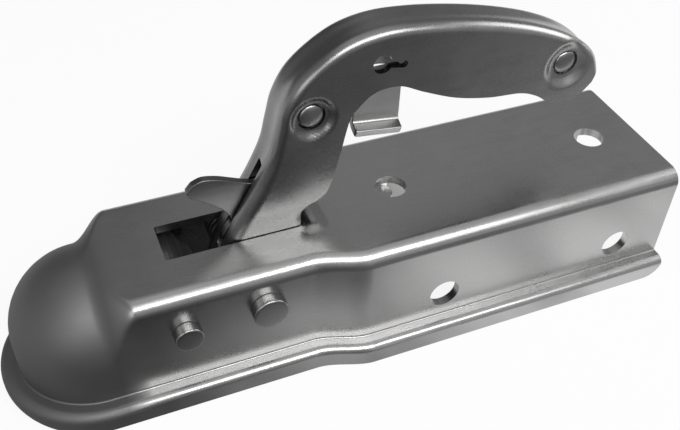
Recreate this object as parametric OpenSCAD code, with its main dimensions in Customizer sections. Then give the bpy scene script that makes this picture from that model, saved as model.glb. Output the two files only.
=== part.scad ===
// Coupling head for a trailer drawbar, with its lever in the closed position.
// All lengths are in millimetres. The origin is the centre of the ball.
// +X runs back along the drawbar, +Y to the far side and +Z up.

/* [Ball and sheet] */
// diameter of the ball that the head takes
ball_d = 50; // [45:0.5:60]
// gap between the ball and the inside of the dome
ball_gap = 0.25; // [0.1:0.05:0.5]
// thickness of the housing sheet
sheet = 3.5; // [2.5:0.1:5]

/* [Housing] */
// width of the square drawbar that fits the rear
drawbar_w = 60; // [50:1:70]
// gap at each side of the drawbar
drawbar_gap = 0.5; // [0.2:0.1:2]
// from the ball to the rear end
rear_x = 234; // [230:1:280]
// where the dome has become a flat-topped box
shoulder_len = 14; // [8:1:24]
// start of the step between the narrow front and the wide rear
step_x = 77; // [72:1:80]
// length of that step
step_len = 22; // [12:1:26]
// outside radius of the long top bends
top_bend_r = 6; // [4.5:0.5:8]
// from the ball centre down to the top of the flange
flange_drop = 13.3; // [12:0.1:16]
// from the ball centre down to the edge of the lip
lip_drop = 22; // [20:0.5:26]
// how far the flange stands out
flange_out = 6.7; // [6:0.1:9]
// outside radius where the flange turns down into the lip
lip_bend_r = 4; // [4:0.1:5]
// outside radius where the wall turns out into the flange
foot_r = 1.5; // [1:0.1:2.5]
// how much the lip rises at the nose
nose_rise = 3.5; // [0:0.1:5]
// radius of the rear corners of the lip
lip_corner_r = 8.4; // [3:0.1:8.5]
// front end of the lever slot
slot_x = 29; // [27:0.5:31]
// length of the lever slot
slot_len = 52; // [51:0.5:56]
// gap between the lever and each side of its slot
slot_gap = 0.4; // [0.2:0.1:1]
// width of the raised pad behind the slot
pad_w = 10; // [8:0.5:12]
// length of that pad across the head
pad_len = 30; // [24:1:40]
// height of that pad
pad_h = 1.4; // [0.5:0.1:2]

/* [Bolt holes] */
// diameter of the drawbar bolt holes
bolt_hole_d = 12.5; // [10.5:0.1:14.5]
// front bolt hole of the top plate
top_hole_x = 120.5; // [115:0.5:130]
// spacing of the two top holes
top_hole_pitch = 92; // [80:0.5:100]
// front bolt hole of the side walls
side_hole_x = 130.3; // [126:0.1:140]
// spacing of the two side holes
side_hole_pitch = 80; // [70:0.5:90]
// height of the side holes
side_hole_z = -1.8; // [-4:0.1:4]

/* [Lever] */
// width of the lever
lever_w = 17.6; // [15:0.1:22]
// thickness of the lever sheet
lever_sheet = 2.5; // [2:0.1:3]
// outside radius of the long bends of the lever
lever_bend_r = 4; // [3.5:0.1:5]
// diameter of the lever pin
lever_pin_d = 10; // [8:0.5:12]
// lever pin, from the ball
lever_pin_x = 60; // [59:0.5:61]
// height of the lever pin
lever_pin_z = 13; // [12:0.5:14]
// radius of the lever plates round the pin
lever_eye_r = 13; // [11:0.5:14]
// diameter of the lever pin heads
lever_head_d = 13.4; // [12:0.1:15]
// height of the pin heads
head_h = 4.5; // [3:0.1:6]
// height of the closed ends of the pins on the far side
end_h = 2.6; // [1.5:0.1:4]
// diameter of the two rivets in the lever
rivet_d = 10.2; // [8:0.1:11]
// front rivet, from the ball
catch_rivet_x = 84.4; // [84:0.1:86]
// height of the front rivet
catch_rivet_z = 75.4; // [74:0.1:76]
// rear rivet, from the ball
end_rivet_x = 185.4; // [183:0.1:187]
// height of the rear rivet
end_rivet_z = 75.3; // [74:0.1:77]
// diameter of the dish round the front rivet
catch_dish_d = 17; // [14:0.5:20]
// diameter of the dish round the rear rivet
end_dish_d = 21; // [16:0.5:23]
// depth of both dishes
dish_h = 1.2; // [0.5:0.1:1.6]
// diameter of the lock hole
lock_hole_d = 7.1; // [6:0.1:8]
// lock hole, from the ball
lock_hole_x = 108.9; // [106:0.1:112]
// height of the lock hole
lock_hole_z = 92.1; // [90:0.1:94]
// length of the notch beside the lock hole
lock_notch_len = 9.4; // [6:0.1:12]
// width of that notch
lock_notch_w = 2.7; // [1.5:0.1:4]

/* [Catch] */
// thickness of the catch plate
catch_t = 3; // [2:0.1:4]
// near face of the catch plate, from the centre plane
catch_y = 3; // [2:0.1:4]
// gap round the catch where it passes through the lever
catch_gap = 0.7; // [0.4:0.1:1.2]
// top of the web slot that the catch passes through
web_slot_top = 57; // [55:0.5:60]
// length of the finger tab
tab_len = 18.2; // [12:0.1:20]
// how far the finger tab reaches out of the catch plate
tab_out = 4.4; // [3:0.1:8]
// fall of the finger tab, in degrees
tab_fall = 17.5; // [5:0.5:30]
// inside radius of the bend of the finger tab
tab_bend_r = 1.5; // [1:0.1:3]
// corner radius of the finger tab
tab_corner_r = 1.2; // [0.5:0.1:2.5]

/* [Jaw] */
// diameter of the jaw pin
jaw_pin_d = 8; // [6:0.5:9]
// jaw pin, from the ball
jaw_pin_x = 30; // [30:0.5:31]
// height of the jaw pin
jaw_pin_z = 11.5; // [10.5:0.5:12.5]
// diameter of the jaw pin head
jaw_head_d = 10.4; // [9.5:0.1:12]
// width of the jaw
jaw_w = 36; // [30:1:40]
// gap between the jaw and the cam sleeve
cam_gap = 0.3; // [0.2:0.1:0.6]
// diameter of the cam pin
cam_pin_d = 6; // [5:0.5:7]
// outside diameter of the cam sleeve
cam_d = 12; // [11:0.5:13]
// cam pin, from the ball
cam_x = 50; // [49:0.5:51]
// height of the cam pin
cam_z = 2; // [1:0.5:3]

/* [Fits] */
// clearance round each pin, on the radius
pin_fit = 0.05; // [0.02:0.01:0.1]
// gap between faces that slide past each other
face_gap = 0.1; // [0.05:0.05:0.3]
// wall of the bushes on the lever pin
lever_bush_wall = 1.95; // [1.5:0.05:3]
// wall of the bushes on the jaw pin
jaw_bush_wall = 1.95; // [1.5:0.05:3]
// thickness of the washers beside the lever
washer_t = 1.2; // [0.8:0.1:2]
// width of the washer rings
washer_ring = 3.45; // [2.5:0.05:4]
// wire of the lever springs
lever_wire_d = 2.2; // [1.6:0.1:2.6]
// wire of the jaw spring
jaw_wire_d = 1.6; // [1.2:0.1:1.8]
// wire of the catch spring
catch_wire_d = 1.2; // [0.8:0.1:1.4]
// wall of the spacers on the rivets
spacer_wall = 1.1; // [0.8:0.1:1.4]
// length of the strap under the top plate
strap_len = 41; // [36:0.5:46]
// width of that strap
strap_w = 9.2; // [7:0.1:13]
// thickness of that strap
strap_t = 3; // [2:0.1:4]
// how far the strap lies off the centre plane
strap_y = 2.1; // [0:0.1:3]

/* [Hidden] */
$fn = 64;

dome_r = ball_d/2 + ball_gap + sheet;
top_z = dome_r;
front_half = dome_r;
rear_half = drawbar_w/2 + drawbar_gap + sheet;
front_in = front_half - sheet;
under_top = top_z - sheet;
lever_half = lever_w/2;
lever_in = lever_half - lever_sheet;
slot_half = lever_half + slot_gap;
slot_end = slot_x + slot_len;
lever_pin_r = lever_pin_d/2;
jaw_pin_r = jaw_pin_d/2;
cam_pin_r = cam_pin_d/2;
rivet_r = rivet_d/2;
cam_r = cam_d/2;
lobe_r = cam_r - 0.4;
washer_out = lever_half + face_gap + washer_t;
lever_bush_r = lever_pin_r + pin_fit + lever_bush_wall;
jaw_bush_r = jaw_pin_r + pin_fit + jaw_bush_wall;
jaw_half = jaw_w/2;
pad_x = cam_x - cam_r - cam_gap;

// smooth step from 0 to 1
function ease(t) = t <= 0 ? 0 : t >= 1 ? 1 : t*t*(3 - 2*t);
// half the width of the housing at x
function half_at(x) = front_half + (rear_half - front_half)*ease((x - step_x)/step_len);
// outside radius of the top bend at x
function bend_at(x) = dome_r + (top_bend_r - dome_r)*ease(x/shoulder_len);
// points on an arc from angle a to angle b in n steps
function arc(c, r, a, b, n) = [for (k = [0:n]) c + r*[cos(a + (b - a)*k/n), sin(a + (b - a)*k/n)]];
// smooth curve through a list of points, n steps between two of them
function pick(p, i) = p[min(max(i, 0), len(p) - 1)];
function cubic(a, b, c, d, t) = 0.5*(2*b + (c - a)*t + (2*a - 5*b + 4*c - d)*t*t + (3*b - a - 3*c + d)*t*t*t);
function curve(p, n) = [
  for (i = [0:len(p) - 2], k = [0:n - 1]) cubic(pick(p, i - 1), p[i], p[i + 1], pick(p, i + 2), k/n),
  p[len(p) - 1]];
// smooth closed curve through a list of points
function loop(p, n) = [
  for (i = [0:len(p) - 1], k = [0:n - 1])
    cubic(p[(i + len(p) - 1) % len(p)], p[i], p[(i + 1) % len(p)], p[(i + 2) % len(p)], k/n)];
// both triangles of a patch whose corners run round it
function patch(a, b, c, d) = [[a, b, c], [a, c, d]];

// housing shell: one bent section carried down the near side, round the nose and back

// steps of the top bend, of each small bend, and of the turn round the nose
arc_n = 10;
small_n = 3;
nose_n = 16;
side_x = [rear_x, for (k = [0:6]) step_x + step_len*(6 - k)/6, for (k = [0:4]) shoulder_len*(4 - k)/4];
side_n = len(side_x) - 1;
path_n = 2*side_n + nose_n;
row_n = 2*(arc_n + 1 + 2*(small_n + 1) + 1);

function path_x(i) = i <= side_n ? side_x[i] : i >= side_n + nose_n ? side_x[path_n - i] : 0;
function path_a(i) = 180*min(max(i - side_n, 0), nose_n)/nose_n;
function spine(i) = i <= side_n ? i : i >= side_n + nose_n ? path_n - i : side_n;
// section of the sheet: distance from the spine, and height
function section_half(w, r, a0, t, rim_z) = concat(
  [for (k = [0:arc_n]) let (a = a0 + (90 - a0)*k/arc_n) [w - r + (r - t)*sin(a), top_z - r + (r - t)*cos(a)]],
  arc([w + foot_r, foot_r - flange_drop], foot_r + t, 180, 270, small_n),
  arc([w + flange_out - lip_bend_r, -flange_drop - lip_bend_r], lip_bend_r - t, 90, 0, small_n),
  [[w + flange_out - t, rim_z]]);
function reversed(p) = [for (k = [1:len(p)]) p[len(p) - k]];
function section(w, r, a0, rim_z) = concat(
  section_half(w, r, a0, 0, rim_z), reversed(section_half(w, r, a0, sheet, rim_z)));
function place(x, a, p) = [x - p[0]*sin(a), -p[0]*cos(a), p[1]];

shell_points = concat(
  [for (i = [0:path_n])
    let (x = path_x(i), a = path_a(i), r = bend_at(x),
      a0 = 4*(r - top_bend_r)/(dome_r - top_bend_r),
      rim = -lip_drop + nose_rise*pow(sin(a), 2))
    for (p = section(half_at(x), r, a0, rim)) place(x, a, p)],
  [for (k = [0:side_n]) [side_x[k], 0, top_z]],
  [for (k = [0:side_n]) [side_x[k], 0, under_top]]);
spine_out = (path_n + 1)*row_n;
spine_in = spine_out + side_n + 1;

function shell_id(i, j) = i*row_n + j;
shell_faces = concat(
  [for (i = [0:path_n - 1], j = [0:row_n - 2])
    for (f = patch(shell_id(i, j), shell_id(i + 1, j), shell_id(i + 1, j + 1), shell_id(i, j + 1))) f],
  [for (i = [0:path_n - 1]) let (a = spine_out + spine(i), b = spine_out + spine(i + 1))
    for (f = a == b ? [[a, shell_id(i + 1, 0), shell_id(i, 0)]]
      : patch(a, b, shell_id(i + 1, 0), shell_id(i, 0))) f],
  [for (i = [0:path_n - 1])
    let (a = spine_in + spine(i), b = spine_in + spine(i + 1), j = row_n - 1)
    for (f = a == b ? [[a, shell_id(i, j), shell_id(i + 1, j)]]
      : patch(a, shell_id(i, j), shell_id(i + 1, j), b)) f],
  [for (j = [0:row_n/2 - 2])
    for (f = patch(shell_id(0, j), shell_id(0, j + 1),
      shell_id(0, row_n - 2 - j), shell_id(0, row_n - 1 - j))) f],
  [for (j = [0:row_n/2 - 2])
    for (f = patch(shell_id(path_n, j), shell_id(path_n, row_n - 1 - j),
      shell_id(path_n, row_n - 2 - j), shell_id(path_n, j + 1))) f],
  patch(spine_out, shell_id(0, 0), shell_id(0, row_n - 1), spine_in),
  patch(spine_out, spine_in, shell_id(path_n, row_n - 1), shell_id(path_n, 0)));

// a cylinder along Y, centred on the middle plane unless y is given
module cross(x, z, d, len, y = 0) {
  translate([x, y, z])
    rotate([90, 0, 0])
      cylinder(d = d, h = len, center = true);
}

// a ring along Y between two distances from the middle plane
module ring(x, z, outer_r, inner_r, y0, y1) {
  difference() {
    cross(x, z, 2*outer_r, y1 - y0, (y0 + y1)/2);
    cross(x, z, 2*inner_r, y1 - y0 + 2, (y0 + y1)/2);
  }
}

module top_pad() {
  hull() {
    for (s = [-1, 1])
      translate([slot_end - 2 + pad_w/2, s*(pad_len - pad_w)/2, top_z - 1])
        cylinder(r1 = pad_w/2 + 1, r2 = pad_w/2 - 2, h = pad_h + 1, $fn = 24);
  }
}

module lip_corner() {
  translate([rear_x - lip_corner_r, 0, -lip_drop + lip_corner_r])
    rotate([90, 0, 0])
      linear_extrude(2*(rear_half + flange_out) + 4, center = true)
        difference() {
          translate([0, -lip_corner_r - 1])
            square([lip_corner_r + 1, lip_corner_r + 1]);
          circle(lip_corner_r);
        }
}

module housing() {
  color([0.62, 0.63, 0.65])
    difference() {
      union() {
        polyhedron(shell_points, [for (f = shell_faces) reversed(f)], convexity = 8);
        top_pad();
      }
      translate([slot_x, -slot_half, under_top - 2])
        cube([slot_len, 2*slot_half, sheet + pad_h + 4]);
      for (k = [0, 1]) {
        translate([top_hole_x + k*top_hole_pitch, 0, under_top - 2])
          cylinder(d = bolt_hole_d, h = sheet + 4);
        cross(side_hole_x + k*side_hole_pitch, side_hole_z, bolt_hole_d, 2*rear_half + 4);
      }
      cross(lever_pin_x, lever_pin_z, lever_pin_d + 2*pin_fit, 2*front_half + 4);
      cross(jaw_pin_x, jaw_pin_z, jaw_pin_d + 2*pin_fit, 2*front_half + 4);
      lip_corner();
    }
}

// strap that lies against the underside of the top plate behind the slot
module stop_strap() {
  color([0.55, 0.56, 0.58])
    translate([slot_end, strap_y, under_top - strap_t])
      linear_extrude(strap_t) {
        translate([0, -strap_w/2])
          square([strap_len - strap_w/2, strap_w]);
        translate([strap_len - strap_w/2, 0])
          circle(d = strap_w);
      }
}

// pin across the front of the housing, with a turned head and a closed far end
module headed_pin(x, z, r, head_r) {
  translate([x, 0, z])
    rotate([90, 0, 0])
      rotate_extrude()
        polygon([
          [0, -front_half - end_h], [r, -front_half - end_h],
          [head_r - 0.4, -front_half - end_h/2], [head_r - 0.4, -front_half],
          [r, -front_half], [r, front_half], [head_r, front_half],
          [head_r, front_half + head_h - 0.6], [head_r - 0.6, front_half + head_h],
          [0, front_half + head_h]]);
}

module lever_pin() {
  color([0.6, 0.61, 0.62])
    headed_pin(lever_pin_x, lever_pin_z, lever_pin_r, lever_head_d/2);
}

module jaw_pin() {
  color([0.6, 0.61, 0.62])
    headed_pin(jaw_pin_x, jaw_pin_z, jaw_pin_r, jaw_head_d/2);
}

// bush between a washer and the side wall; side is -1 for the near side
module lever_bush(side) {
  color([0.7, 0.6, 0.35])
    ring(lever_pin_x, lever_pin_z, lever_bush_r, lever_pin_r + pin_fit,
      min(side*washer_out, side*(front_in - face_gap)), max(side*washer_out, side*(front_in - face_gap)));
}

module lever_washer(side) {
  color([0.66, 0.67, 0.69])
    ring(lever_pin_x, lever_pin_z, lever_pin_r + pin_fit + washer_ring, lever_pin_r + pin_fit,
      side*(washer_out - washer_t/2) - washer_t/2, side*(washer_out - washer_t/2) + washer_t/2);
}

module jaw_bush(side) {
  color([0.7, 0.6, 0.35])
    ring(jaw_pin_x, jaw_pin_z, jaw_bush_r, jaw_pin_r + pin_fit,
      min(side*(jaw_half + face_gap), side*(front_in - face_gap)),
      max(side*(jaw_half + face_gap), side*(front_in - face_gap)));
}

// round wire along a list of points that never double back
wire_n = 6;
function unit(v) = v/norm(v);
function along(p, i) = unit(pick(p, i + 1) - pick(p, i - 1));
module wire(p, r) {
  n = len(p);
  polyhedron(
    [for (i = [0:n - 1])
      let (t = along(p, i), a = unit(cross_of(t, abs(t[1]) > 0.9 ? [1, 0, 0] : [0, 1, 0])), b = cross_of(t, a))
      for (k = [0:wire_n - 1]) p[i] + r*(cos(360*k/wire_n)*a + sin(360*k/wire_n)*b)],
    concat(
      [for (i = [0:n - 2], k = [0:wire_n - 1])
        for (f = patch(i*wire_n + k, i*wire_n + (k + 1) % wire_n,
          (i + 1)*wire_n + (k + 1) % wire_n, (i + 1)*wire_n + k)) f],
      [for (k = [1:wire_n - 2]) [0, k + 1, k]],
      [for (k = [1:wire_n - 2]) [(n - 1)*wire_n, (n - 1)*wire_n + k, (n - 1)*wire_n + k + 1]]));
}
function cross_of(a, b) = [a[1]*b[2] - a[2]*b[1], a[2]*b[0] - a[0]*b[2], a[0]*b[1] - a[1]*b[0]];

// coil round an axis along Y, from angle a0, with a straight leg at each end
function coil(x, z, r, y0, y1, a0, turns, leg0, leg1) = concat(
  leg0,
  [for (k = [0:12*turns]) let (a = a0 + 30*k)
    [x + r*cos(a), y0 + (y1 - y0)*k/(12*turns), z + r*sin(a)]],
  leg1);

// lever spring: one leg lies under the top plate, the other beside the cam
module lever_spring(side) {
  wire_r = lever_wire_d/2;
  coil_r = lever_bush_r + 0.4 + wire_r;
  y0 = washer_out + 0.2 + wire_r;
  y1 = front_in - 0.6 - wire_r;
  reach = cam_x + 2;
  points = coil(lever_pin_x, lever_pin_z, coil_r, y0, y1, 270, 4.5,
    [[reach, y0, lever_pin_z - coil_r - 0.6], [(reach + lever_pin_x)/2, y0, lever_pin_z - coil_r - 0.2]],
    [[lever_pin_x + coil_r, y1, lever_pin_z + coil_r + 0.6],
      [lever_pin_x + 2.2*coil_r, y1, under_top - face_gap - wire_r]]);
  color([0.35, 0.35, 0.37])
    if (side < 0)
      mirror([0, 1, 0])
        wire(points, wire_r);
    else
      wire(points, wire_r);
}

// jaw spring on the near bush of the jaw pin
module jaw_spring() {
  wire_r = jaw_wire_d/2;
  coil_r = jaw_bush_r + 0.4 + wire_r;
  y0 = jaw_half + 0.4 + wire_r;
  y1 = front_in - 0.4 - wire_r;
  color([0.35, 0.35, 0.37])
    mirror([0, 1, 0])
      wire(coil(jaw_pin_x, jaw_pin_z, coil_r, y0, y1, 0, 2.5,
        [[jaw_pin_x + coil_r - 1, y0, jaw_pin_z - 2.2*coil_r], [jaw_pin_x + coil_r, y0, jaw_pin_z - coil_r]],
        [[jaw_pin_x - coil_r + 0.5, y1, jaw_pin_z + coil_r],
          [jaw_pin_x - coil_r + 2, y1, under_top - face_gap - wire_r]]), wire_r);
}

// profile of the jaw behind the ball, closed and smooth
jaw_outline = [
  [jaw_pin_x - 5.5, jaw_pin_z + 6.5], [jaw_pin_x, jaw_pin_z + 8], [jaw_pin_x + 5.6, jaw_pin_z + 5.8],
  [jaw_pin_x + 8.3, jaw_pin_z + 1], [pad_x - 2.4, cam_z + 6.6], [pad_x - 0.2, cam_z + 2.5],
  [pad_x - 0.1, cam_z - 1.5], [pad_x - 2, cam_z - 5], [pad_x - 6.7, cam_z - 8.5],
  [32.5, -11], [29.5, -16.5], [25.5, -18.6], [19.5, -18.3], [15, -16.5], [15.2, -8], [16, 4], [19, 13]];

module jaw() {
  color([0.45, 0.45, 0.47])
    difference() {
      rotate([90, 0, 0])
        linear_extrude(jaw_w, center = true)
          polygon(loop(jaw_outline, 3));
      sphere(r = ball_d/2 + ball_gap);
      cross(jaw_pin_x, jaw_pin_z, jaw_pin_d + 2*pin_fit, jaw_w + 2);
    }
}

// lower end of each side plate, round the lever pin and the cam pin
pin_at = [lever_pin_x, lever_pin_z];
cam_at = [cam_x, cam_z];
lobe_a = atan2(cam_z - lever_pin_z, cam_x - lever_pin_x);
lobe_b = acos((lever_eye_r - lobe_r)/norm(cam_at - pin_at));
lobe_start = pin_at + lever_eye_r*[cos(lobe_a - lobe_b), sin(lobe_a - lobe_b)];
lobe_end = pin_at + lever_eye_r*[cos(13), sin(13)];
lobe_outline = concat(
  [lobe_start + (lever_bend_r + 0.5)*unit(lobe_end - lobe_start)],
  arc(cam_at, lobe_r, lobe_a - lobe_b, lobe_a + lobe_b, 12),
  arc(pin_at, lever_eye_r, lobe_a + lobe_b, 13, 8));

// lever: line of the web, and the lower edge of the side plates opposite each point of it
web_line = [
  lobe_start, [52.5, 29], [58, 41], [63, 52], [67.8, 62], [71.3, 71], [74.9, 80.3], [80, 89],
  [88, 97], [98, 102.2], [110, 104.4], [124, 103.8], [139, 101.6], [153, 98.6], [166, 94.9],
  [176, 91.2], [185, 86.9], [192.5, 82], [197.8, 77], [200.2, 71.5]];
edge_line = [
  lobe_end, [79.2, 28], [80.5, 36.2], [88.5, 40.6], [91.8, 47], [94.6, 58], [97.7, 71.7], [101, 76.6],
  [105.5, 80.6], [110.5, 82.1], [117, 81.6], [126, 77.2], [139, 71.8], [153, 68.6], [166, 67.4],
  [173.5, 64.6], [180, 60.3], [186.8, 58.6], [193.2, 60.2], [198.3, 65.2]];
web_points = curve(web_line, 3);
edge_points = curve(edge_line, 3);
lever_n = len(web_points) - 1;
lever_arc_n = 4;
// outer half of the U section at one station, from the lower edge to the middle of the web
function web_dir(i) = unit(edge_points[i] - web_points[i]);
function web_run(i) = unit(pick(web_points, i + 1) - pick(web_points, i - 1));
function web_thick(i, t) = t/max(0.5, abs(web_run(i)[1]*web_dir(i)[0] - web_run(i)[0]*web_dir(i)[1]));
function lever_row(i, t) = let (d = web_dir(i), s = web_thick(i, t), r = lever_bend_r - t, w = web_points[i]) concat(
  [[edge_points[i][0], lever_half - t, edge_points[i][1]]],
  [for (k = [0:lever_arc_n]) let (a = 90*k/lever_arc_n, q = w + d*(s + r*(1 - sin(a))))
    [q[0], lever_half - lever_bend_r + r*cos(a), q[1]]]);
function near(p) = [for (q = p) [q[0], -q[1], q[2]]];
lever_half_n = lever_arc_n + 2;
lever_row_n = 4*lever_half_n;
lever_points = [for (i = [0:lever_n])
  for (q = concat(near(lever_row(i, 0)), reversed(lever_row(i, 0)),
    lever_row(i, lever_sheet), reversed(near(lever_row(i, lever_sheet))))) q];
function lever_id(i, j) = i*lever_row_n + j % lever_row_n;
lever_faces = concat(
  [for (i = [0:lever_n - 1], j = [0:lever_row_n - 1])
    for (f = patch(lever_id(i, j), lever_id(i, j + 1), lever_id(i + 1, j + 1), lever_id(i + 1, j))) f],
  [for (j = [0:2*lever_half_n - 2])
    for (f = patch(lever_id(0, j), lever_id(0, lever_row_n - 1 - j),
      lever_id(0, lever_row_n - 2 - j), lever_id(0, j + 1))) f],
  [for (j = [0:2*lever_half_n - 2])
    for (f = patch(lever_id(lever_n, j), lever_id(lever_n, j + 1),
      lever_id(lever_n, lever_row_n - 2 - j), lever_id(lever_n, lever_row_n - 1 - j))) f]);

module lever_plates() {
  for (s = [-1, 1])
    translate([0, s*(lever_half - lever_sheet/2), 0])
      rotate([90, 0, 0])
        linear_extrude(lever_sheet, center = true)
          polygon(lobe_outline);
}

// round dish pressed into both plates round a rivet
module dish(x, z, d) {
  for (s = [-1, 1])
    translate([x, s*(lever_half + 0.01), z])
      rotate([s*90, 0, 0])
        cylinder(d1 = d, d2 = rivet_d + 0.8, h = dish_h);
}

module lever() {
  color([0.58, 0.59, 0.61])
    difference() {
      union() {
        polyhedron(lever_points, lever_faces, convexity = 8);
        lever_plates();
      }
      cross(lever_pin_x, lever_pin_z, lever_pin_d + 2*pin_fit, lever_w + 2);
      cross(cam_x, cam_z, cam_pin_d + 2*pin_fit, lever_w + 2);
      cross(catch_rivet_x, catch_rivet_z, rivet_d + 2*pin_fit, lever_w + 2);
      cross(end_rivet_x, end_rivet_z, rivet_d + 2*pin_fit, lever_w + 2);
      dish(catch_rivet_x, catch_rivet_z, catch_dish_d);
      dish(end_rivet_x, end_rivet_z, end_dish_d);
      cross(lock_hole_x, lock_hole_z, lock_hole_d, lever_w + 2);
      translate([lock_hole_x, -lever_half - 1, lock_hole_z])
        rotate([0, 10.5, 0])
          translate([0, 0, -lock_notch_w/2])
            cube([lock_notch_len, lever_w + 2, lock_notch_w]);
      translate([slot_x, -catch_y - catch_gap, under_top - 3])
        cube([catch_rivet_x - slot_x - rivet_r - 8, catch_t + 2*catch_gap, web_slot_top - under_top + 3]);
    }
}

// rivet through both plates, its ends low domes at the bottom of the dishes
module rivet(x, z) {
  end_y = lever_half - dish_h;
  translate([x, 0, z])
    rotate([90, 0, 0])
      rotate_extrude()
        polygon([
          [0, -end_y - 0.5], [rivet_r*0.45, -end_y - 0.4], [rivet_r*0.8, -end_y], [rivet_r, -end_y + 0.6],
          [rivet_r, end_y - 0.6], [rivet_r*0.8, end_y], [rivet_r*0.45, end_y + 0.4], [0, end_y + 0.5]]);
}

module catch_rivet() {
  color([0.5, 0.51, 0.53])
    rivet(catch_rivet_x, catch_rivet_z);
}

module end_rivet() {
  color([0.5, 0.51, 0.53])
    rivet(end_rivet_x, end_rivet_z);
}

// tubes on the rivets that keep the plates apart and the catch in its place
module catch_spacer_left() {
  color([0.66, 0.67, 0.69])
    ring(catch_rivet_x, catch_rivet_z, rivet_r + pin_fit + spacer_wall, rivet_r + pin_fit,
      -lever_in, -catch_y - face_gap);
}

module catch_spacer_right() {
  color([0.66, 0.67, 0.69])
    ring(catch_rivet_x, catch_rivet_z, rivet_r + pin_fit + spacer_wall, rivet_r + pin_fit,
      catch_t - catch_y + face_gap, lever_in);
}

module end_spacer() {
  color([0.66, 0.67, 0.69])
    ring(end_rivet_x, end_rivet_z, rivet_r + pin_fit + spacer_wall, rivet_r + pin_fit, -lever_in, lever_in);
}

// catch spring round the far spacer, one leg up against the web
module catch_spring() {
  wire_r = catch_wire_d/2;
  coil_r = rivet_r + pin_fit + spacer_wall + 0.2 + wire_r;
  y0 = catch_t - catch_y + 0.3 + wire_r;
  y1 = lever_in - 0.3 - wire_r;
  color([0.35, 0.35, 0.37])
    wire(coil(catch_rivet_x, catch_rivet_z, coil_r, y0, y1, 270, 3,
      [[catch_rivet_x - 7, y0, catch_rivet_z - 14], [catch_rivet_x - 3, y0, catch_rivet_z - 9.5]],
      [[catch_rivet_x + 8, y1, catch_rivet_z - 5.5], [catch_rivet_x + 14, y1, catch_rivet_z - 1]]), wire_r);
}

module cam_pin() {
  color([0.6, 0.61, 0.62])
    cross(cam_x, cam_z, cam_pin_d, lever_w + 1.2);
}

module cam_sleeve() {
  color([0.6, 0.61, 0.62])
    ring(cam_x, cam_z, cam_r, cam_pin_r + pin_fit, face_gap - lever_in, lever_in - face_gap);
}

// catch: tongue and hook at the front, eye on the rivet, finger tab under the handle
catch_outline = [
  [40, 51.2], [42.2, 53.9], [46, 55.2], [51.3, 54.2], [56.6, 52], [61, 50.2], [66, 49], [71, 52], [75, 61],
  [79, 74], [84.4, 82], [92, 84], [102, 85.6], [112, 86.2], [119.8, 86], [119.8, 78], [119.2, 70.5],
  [110, 70.5], [101.6, 71], [94, 64], [86, 58], [77, 48.5], [69, 39], [62.5, 30.5], [57.5, 24.6],
  [53.6, 24], [51.2, 26.4], [53, 30.4], [55.2, 34.4], [52.4, 40], [46.2, 45.4], [41.4, 48.6]];
tab_x = 119.5;
tab_z = 65.3;
tab_slope = 7.1;

module finger_tab() {
  c = [tab_bend_r, tab_bend_r*(1 - sin(tab_fall))/cos(tab_fall)];
  r = tab_bend_r + catch_t;
  a = 270 - tab_fall;
  run = (tab_out - tab_bend_r*(1 - sin(tab_fall)))/cos(tab_fall)*[cos(tab_fall), -sin(tab_fall)];
  low = c + r*[cos(a), sin(a)];
  high = c + tab_bend_r*[cos(a), sin(a)];
  translate([tab_x, -catch_y, tab_z])
    rotate([0, tab_slope, 0])
      difference() {
        rotate([90, 0, -90])
          linear_extrude(tab_len)
            polygon(concat([[-catch_t, 9]], arc(c, r, 180, a, 6), [low + run, high + run],
              reversed(arc(c, tab_bend_r, 180, a, 6)), [[0, 9]]));
        translate([tab_corner_r - tab_len, tab_corner_r - tab_out, -20])
          linear_extrude(40)
            difference() {
              translate([-tab_corner_r - 1, -tab_corner_r - 1])
                square(tab_corner_r + 1);
              circle(tab_corner_r);
            }
      }
}

module catch() {
  color([0.52, 0.53, 0.55])
    difference() {
      union() {
        translate([0, catch_t/2 - catch_y, 0])
          rotate([90, 0, 0])
            linear_extrude(catch_t, center = true)
              polygon(curve(concat(catch_outline, [catch_outline[0]]), 2));
        cross(catch_rivet_x, catch_rivet_z, 15, catch_t, catch_t/2 - catch_y);
        finger_tab();
      }
      cross(catch_rivet_x, catch_rivet_z, rivet_d + 2*pin_fit, lever_w);
    }
}

housing();
stop_strap();
lever_pin();
lever_bush(-1);  // lever_bush_left
lever_bush(1);  // lever_bush_right
lever_washer(-1);  // lever_washer_left
lever_washer(1);  // lever_washer_right
lever_spring(-1);  // lever_spring_left
lever_spring(1);  // lever_spring_right
jaw_pin();
jaw_bush(-1);  // jaw_bush_left
jaw_bush(1);  // jaw_bush_right
jaw_spring();
jaw();
lever();
catch_rivet();
catch_spacer_left();
catch_spacer_right();
catch_spring();
end_rivet();
end_spacer();
cam_pin();
cam_sleeve();
catch();
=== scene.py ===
import math
import bpy
import bmesh
import numpy as np
from mathutils import Matrix, Vector


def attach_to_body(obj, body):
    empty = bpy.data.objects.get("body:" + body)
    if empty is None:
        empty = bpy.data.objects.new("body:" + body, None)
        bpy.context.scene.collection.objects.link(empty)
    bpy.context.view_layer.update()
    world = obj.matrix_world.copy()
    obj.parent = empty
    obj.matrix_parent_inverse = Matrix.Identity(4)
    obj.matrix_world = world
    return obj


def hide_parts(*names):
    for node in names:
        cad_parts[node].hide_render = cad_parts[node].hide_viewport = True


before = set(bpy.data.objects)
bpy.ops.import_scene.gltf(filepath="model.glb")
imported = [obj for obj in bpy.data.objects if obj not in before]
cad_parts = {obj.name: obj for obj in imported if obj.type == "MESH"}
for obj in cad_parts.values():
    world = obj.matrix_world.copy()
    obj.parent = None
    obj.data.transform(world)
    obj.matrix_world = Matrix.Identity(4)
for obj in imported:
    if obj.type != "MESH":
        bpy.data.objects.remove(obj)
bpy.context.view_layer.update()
scene = bpy.context.scene
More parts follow.
